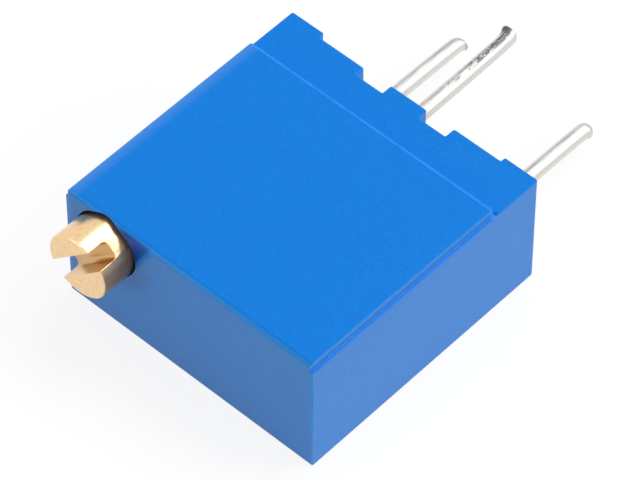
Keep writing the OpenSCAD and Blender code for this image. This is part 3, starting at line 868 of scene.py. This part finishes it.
pin_1_low, pin_1_high = box_mm("pin_1")
pin_2_low, pin_2_high = box_mm("pin_2")
pin_3_low, pin_3_high = box_mm("pin_3")
base_low = box_mm("base")[0]

# Hot-tinned copper, off-white where it mirrors the room. The side that mirrors the softbox is
# painted duller to tone its highlight down, and along the top a grey painted reflection is
# streaked. First its colours, then the length and width of each mark.
TIN = "#E0DCD6"
# painted shade: the duller colour on the side that mirrors the softbox
DIMMED_HIGHLIGHT_TIN = "#BFBBB7"
# painted reflection: the grey along the top
STREAKED_DARK_REFLECTION = "#A9AAAC"
SHEARED_TIN = "#8E8C8A"
DARK_MARK_TIN = "#646568"
HIGHLIGHT_SIDE = Vector((0.64, 0, 0.77))
DRAWN_LINE = 0.06
LINE_DEPTH = 0.006
FLECK = 0.08
END_L = 0.14
END_FADE = 0.11
LIP_START = 0.45
LIP_FADE = 0.25
LIP_NEAR = 0.08
LIP_FAR = 0.22
MIDDLE_ROW = 0.6
FLECKS_START = 0.4
FLECKS_END = 3.4

tin, tree, output = new_material("hot-tinned copper")
coordinates = add_node(tree, "ShaderNodeTexCoord")
place = coordinates.outputs["Object"]
xyz = add_node(tree, "ShaderNodeSeparateXYZ", (), {0: place})
slope = add_node(tree, "ShaderNodeSeparateXYZ", (), {0: coordinates.outputs["Normal"]})
drawn = add_node(tree, "ShaderNodeMapping", {"Scale": (1, 0.08, 1)}, {"Vector": place})
lines = add_node(tree, "ShaderNodeTexNoise", {"Scale": 1 / (DRAWN_LINE * MM), "Detail": 3.0},
                 {"Vector": drawn.outputs[0]})
relief = add_node(tree, "ShaderNodeBump", {"Strength": 0.2, "Distance": LINE_DEPTH * MM},
                  {"Height": lines.outputs["Fac"]})
# painted reflection: a grey band along the top, streaked, for the darker room that it mirrors
band = add_node(tree, "ShaderNodeMapRange", {"From Min": 0.86, "From Max": 0.95},
                {"Value": slope.outputs["Z"]})
streaks = add_node(tree, "ShaderNodeMapRange",
                   {"From Min": 0.3, "From Max": 0.6, "To Min": 0.4, "To Max": 1.0},
                   {"Value": lines.outputs["Fac"]})
streaked_reflection = add_node(tree, "ShaderNodeMath", {"operation": "MULTIPLY"},
                    {0: band.outputs[0], 1: streaks.outputs[0]})
# painted shade: the side that mirrors the softbox is duller, to tone its highlight down
toned_highlight = add_node(tree, "ShaderNodeVectorMath", {"operation": "DOT_PRODUCT", 1: HIGHLIGHT_SIDE},
                 {0: coordinates.outputs["Normal"]})
toned_highlight = add_node(tree, "ShaderNodeMapRange", {"From Min": 0.8, "From Max": 0.96},
                 {"Value": toned_highlight.outputs["Value"]})
shine = add_node(tree, "ShaderNodeMix",
                 {"data_type": "RGBA", 6: linear(TIN), 7: linear(DIMMED_HIGHLIGHT_TIN)},
                 {0: toned_highlight.outputs[0]})
# the sheared ends of the outer pins are duller
end = add_node(tree, "ShaderNodeMapRange",
               {"From Min": (pin_1_high.y - END_L) * MM,
                "From Max": (pin_1_high.y - END_L + END_FADE) * MM, "To Max": 0.6},
               {"Value": xyz.outputs["Y"]})
# the middle pin is darker: the whole of its lip, and flecks along its side, thick near the tip
# and gone at three quarters of the length
middle = add_node(tree, "ShaderNodeMath", {"operation": "COMPARE", 1: 0.0, 2: MIDDLE_ROW * MM},
                  {0: xyz.outputs["X"]})
off_axis = add_node(tree, "ShaderNodeVectorMath",
                    {"operation": "SUBTRACT", 1: Vector((0, 0, pin_2_high.z - PIN_R)) * MM},
                    {0: place})
out_side = add_node(tree, "ShaderNodeVectorMath", {"operation": "DOT_PRODUCT", 1: SHEAR_SIDE},
                    {0: off_axis.outputs[0]})
on_lip = add_node(tree, "ShaderNodeMapRange",
                  {"From Min": LIP_NEAR * MM, "From Max": LIP_FAR * MM},
                  {"Value": out_side.outputs["Value"]})
at_tip = add_node(tree, "ShaderNodeMapRange",
                  {"From Min": (pin_2_high.y - LIP_START) * MM,
                   "From Max": (pin_2_high.y - LIP_START + LIP_FADE) * MM},
                  {"Value": xyz.outputs["Y"]})
lip = add_node(tree, "ShaderNodeMath", {"operation": "MULTIPLY"},
               {0: on_lip.outputs[0], 1: at_tip.outputs[0]})
fleck_stretch = add_node(tree, "ShaderNodeMapping", {"Scale": (1, 0.4, 1)}, {"Vector": place})
flecks = add_node(tree, "ShaderNodeTexNoise",
                  {"Scale": 1 / (FLECK * MM), "Detail": 4.0, "Roughness": 0.7},
                  {"Vector": fleck_stretch.outputs[0]})
thick = add_node(tree, "ShaderNodeMapRange",
                 {"From Min": (pin_2_high.y - FLECKS_END) * MM,
                  "From Max": (pin_2_high.y - FLECKS_START) * MM,
                  "To Min": -0.12, "To Max": 0.12}, {"Value": xyz.outputs["Y"]})
flecks = add_node(tree, "ShaderNodeMath", {"operation": "ADD"},
                  {0: flecks.outputs["Fac"], 1: thick.outputs[0]})
flecks = add_node(tree, "ShaderNodeMapRange", {"From Min": 0.48, "From Max": 0.56},
                  {"Value": flecks.outputs[0]})
flecks = add_node(tree, "ShaderNodeMath", {"operation": "MULTIPLY"},
                  {0: flecks.outputs[0], 1: band.outputs[0]})
dark_marks = add_node(tree, "ShaderNodeMath", {"operation": "MAXIMUM"},
                {0: flecks.outputs[0], 1: lip.outputs[0]})
dark_marks = add_node(tree, "ShaderNodeMath", {"operation": "MULTIPLY"},
                {0: dark_marks.outputs[0], 1: middle.outputs[0]})
for mark, colour in ((streaked_reflection, STREAKED_DARK_REFLECTION), (end, SHEARED_TIN), (dark_marks, DARK_MARK_TIN)):
    shine = add_node(tree, "ShaderNodeMix", {"data_type": "RGBA", 7: linear(colour)},
                     {0: mark.outputs[0], 6: shine.outputs[2]})
metal = add_node(tree, "ShaderNodeBsdfPrincipled", {"Metallic": 1.0, "Roughness": 0.5},
                 {"Base Color": shine.outputs[2], "Normal": relief.outputs[0]})
tree.links.new(metal.outputs[0], output.inputs["Surface"])

# the outer pins: each is a little bent, its end is rolled over on the shear side and has a burr
# opposite. A pin is its box, how far it stands off its row, how far it bends on, and its rings.
PIN_STEPS = 12
ENDS_1 = ((0.4, 1, 1), (0.25, 0.97, 1), (0.15, 0.88, 1.03), (0.08, 0.75, 1.12),
          (0.03, 0.55, 1.25), (0, 0.35, 1.2))
ENDS_3 = ((0.4, 1, 1), (0.28, 0.99, 1.04), (0.19, 0.95, 1.2), (0.12, 0.87, 1.22),
          (0.05, 0.72, 1.0), (0, 0.5, 0.8))
OUTER_PINS = {1: (pin_1_low, pin_1_high, 0.1, 0.035, ENDS_1),
              3: (pin_3_low, pin_3_high, 0.05, 0.03, ENDS_3)}
for number, (low, high, aside, bend, rings) in OUTER_PINS.items():
    x, z = (low.x + high.x) / 2 + aside, (low.z + high.z) / 2
    shares = [i / PIN_STEPS for i in range(PIN_STEPS + 1)]
    points = [(x + bend * share ** 3, low.y + (high.y - low.y) * share, z) for share in shares]
    add_pin(number, points, rings)

# the middle pin: cranked to stand in the same row at one end and on the pad at the other, and its
# end is flared into a lip on the shear side
BEND_R = 0.32
BEND_STEPS = 8
LEG_STEPS = 10
MIDDLE_ASIDE = 0.06
MIDDLE_BEND = 0.07
LIP_OUT = 0.04
ENDS_2 = ((0.5, 1, 1), (0.34, 1.05, 0.99), (0.24, 1.15, 0.96), (0.15, 1.38, 0.9),
          (0.11, 1.42, 0.86), (0.05, 1.0, 0.72), (0, 0.7, 0.45))
foot_z, row_z = pin_2_low.z + PIN_R, pin_2_high.z - PIN_R
leg_y = base_low.y + PIN_R + SLIDE_GAP
out_y = leg_y + BEND_R
out_l = pin_2_high.y + LIP_OUT - out_y
turns = [math.pi / 2 * i / BEND_STEPS for i in range(BEND_STEPS + 1)]
shares = [i / LEG_STEPS for i in range(1, LEG_STEPS + 1)]
points = [(0, pin_2_low.y, foot_z)]
points += [(0, leg_y - BEND_R + BEND_R * math.sin(a), foot_z + BEND_R - BEND_R * math.cos(a))
           for a in turns]
points += [(0, leg_y + BEND_R - BEND_R * math.cos(a), row_z - BEND_R + BEND_R * math.sin(a))
           for a in turns]
points += [(MIDDLE_ASIDE - MIDDLE_BEND * share ** 2, out_y + out_l * share, row_z)
           for share in shares]
add_pin(2, points, ENDS_2)


# ---------------------------------------------------------------- inner pieces
# What the shell hides keeps its CAD shape. Each piece has the colour and the sheen of its real
# material, and a fine grain.
INNER_GRAIN = 0.05
INNER_FINISHES = {
    # mouldings: the base is left matt by its tool, and acetal has a waxy sheen
    "matt moulding": ("#0A4E96", 0.5, 0.0, ["base"]),
    "ivory acetal": ("#E8E0C8", 0.4, 0.0, ["slider"]),
    # resin that levelled and set by itself is nearly a mirror
    "poured resin": ("#0C2A55", 0.12, 0.0, ["epoxy_seal"]),
    # the plate and what is printed on it and fired: chalky alumina, satin films and glossy glass
    "fired alumina": ("#ECEAE4", 0.55, 0.0, ["substrate"]),
    "fired cermet": ("#3A3A3C", 0.45, 0.0, ["resistive_track"]),
    "fired silver film": ("#D8D4C8", 0.35, 1.0, ["collector_track", "conductor_1", "conductor_3"]),
    "fired glass": ("#2E6B4A", 0.15, 0.0, ["solder_stop"]),
    # metals: bright solder, and stamped springs with the sheen of rolled sheet
    "solder": ("#C9C9CB", 0.25, 1.0, ["solder_joint_1", "solder_joint_2", "solder_joint_3"]),
    "phosphor bronze": ("#C9955E", 0.3, 1.0, ["retaining_clip"]),
    "precious contact alloy": ("#E8C27A", 0.25, 1.0, ["wiper"]),
    # rubber, with a dull bloom
    "silicone rubber": ("#8A3A22", 0.5, 0.0, ["o_ring"]),
}
for name, (colour, roughness, metallic, nodes) in INNER_FINISHES.items():
    material, tree, output = new_material(name)
    place = add_node(tree, "ShaderNodeTexCoord").outputs["Object"]
    noise = add_node(tree, "ShaderNodeTexNoise", {"Scale": 1 / (INNER_GRAIN * MM), "Detail": 4.0},
                     {"Vector": place})
    relief = add_node(tree, "ShaderNodeBump", {"Strength": 0.1, "Distance": GRAIN_DEPTH * MM},
                      {"Height": noise.outputs["Fac"]})
    shader = add_node(tree, "ShaderNodeBsdfPrincipled",
                      {"Base Color": linear(colour), "Metallic": metallic, "Roughness": roughness},
                      {"Normal": relief.outputs[0]})
    tree.links.new(shader.outputs[0], output.inputs["Surface"])
    for node in nodes:
        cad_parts[node].data.materials.clear()
        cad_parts[node].data.materials.append(material)
